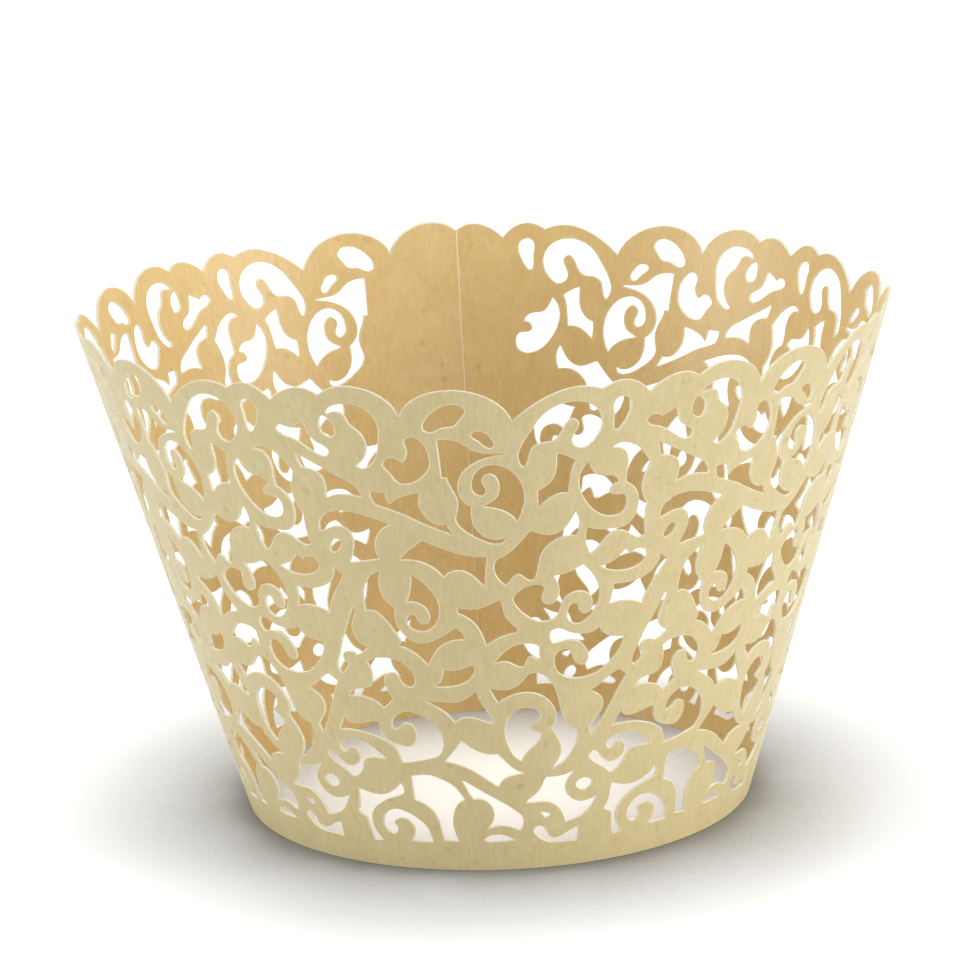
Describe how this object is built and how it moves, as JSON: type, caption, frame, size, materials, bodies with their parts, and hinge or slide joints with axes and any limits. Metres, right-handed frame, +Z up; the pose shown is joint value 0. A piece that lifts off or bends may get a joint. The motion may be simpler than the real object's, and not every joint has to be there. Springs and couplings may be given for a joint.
{
  "type": "cupcake wrapper",
  "caption": "Open-ended flared sleeve of thin lace-cut card with a scalloped top edge and a glued lap at the back, that stands round a cupcake.",
  "frame": {"origin": "centre of the foot ring, on the surface it stands on", "axes": "+Z up along the axis of the flare, -Y the front, glued lap at the back (+Y)"},
  "size_m": [0.0789, 0.0791, 0.05],
  "materials": {
    "wrapper": "satin"
  },
  "bodies": {
    "root": {"wrapper": "wrapper"}
  },
  "joints": []
}
